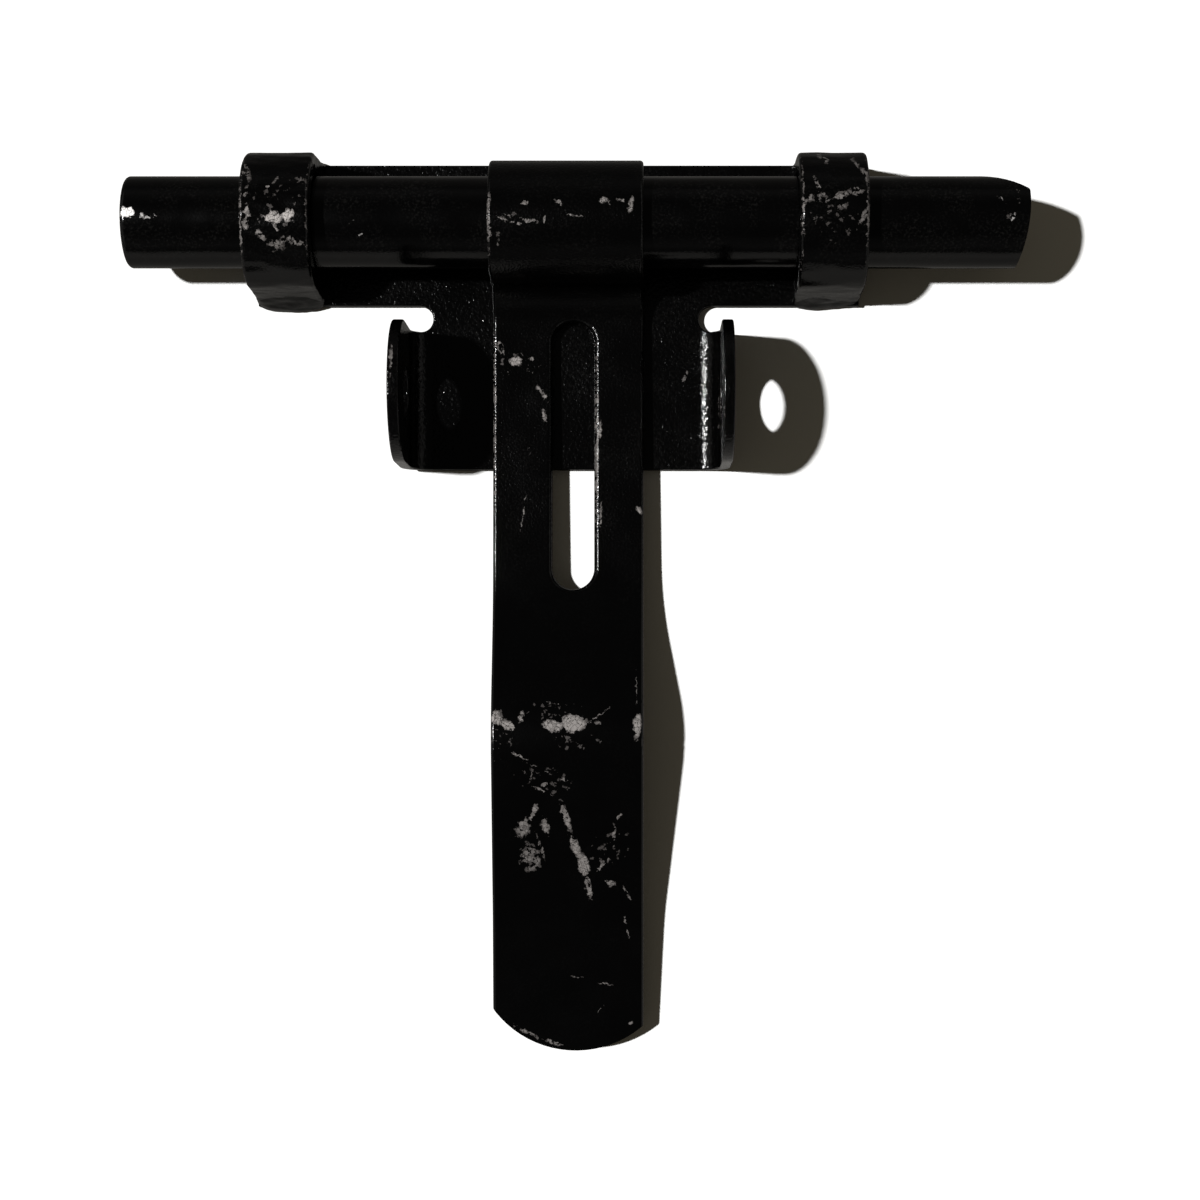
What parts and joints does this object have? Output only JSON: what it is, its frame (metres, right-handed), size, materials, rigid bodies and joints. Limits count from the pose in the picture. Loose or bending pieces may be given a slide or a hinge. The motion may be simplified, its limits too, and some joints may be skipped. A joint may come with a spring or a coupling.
{
  "type": "door bolt",
  "caption": "Sliding door bolt: a round rod in guide bands welded to a folded plate, with a slotted strap handle that drops over a padlock ear.",
  "frame": {"origin": "on the plate's back face, under the rod's axis and midway between the padlock ears", "axes": "+Z out of the door, +X along the rod towards its nose, -Y along the hanging handle"},
  "size_m": [0.1779, 0.1817, 0.0324],
  "materials": {
    "black_enamel": "gloss black enamel over steel, chipped and scratched to bare grey metal in places"
  },
  "bodies": {
    "base": {"base_plate": "black_enamel", "left_guide_band": "black_enamel", "right_guide_band": "black_enamel", "left_band_upper_weld": "black_enamel", "left_band_lower_weld": "black_enamel", "right_band_upper_weld": "black_enamel", "right_band_lower_weld": "black_enamel"},
    "bolt": {"bolt_rod": "black_enamel"},
    "handle": {"hasp_handle": "black_enamel", "handle_seam_weld": "black_enamel"}
  },
  "joints": [
    {"name": "bolt_slide", "type": "slide", "parent": "base", "child": "bolt", "axis": [1, 0, 0], "range_m": [-0.0124, 0.0112]},
    {"name": "handle_turn", "type": "hinge", "parent": "bolt", "child": "handle", "pos_m": [0, 0, 0.01455], "axis": [-1, 0, 0], "range_deg": [0, 185]}
  ]
}
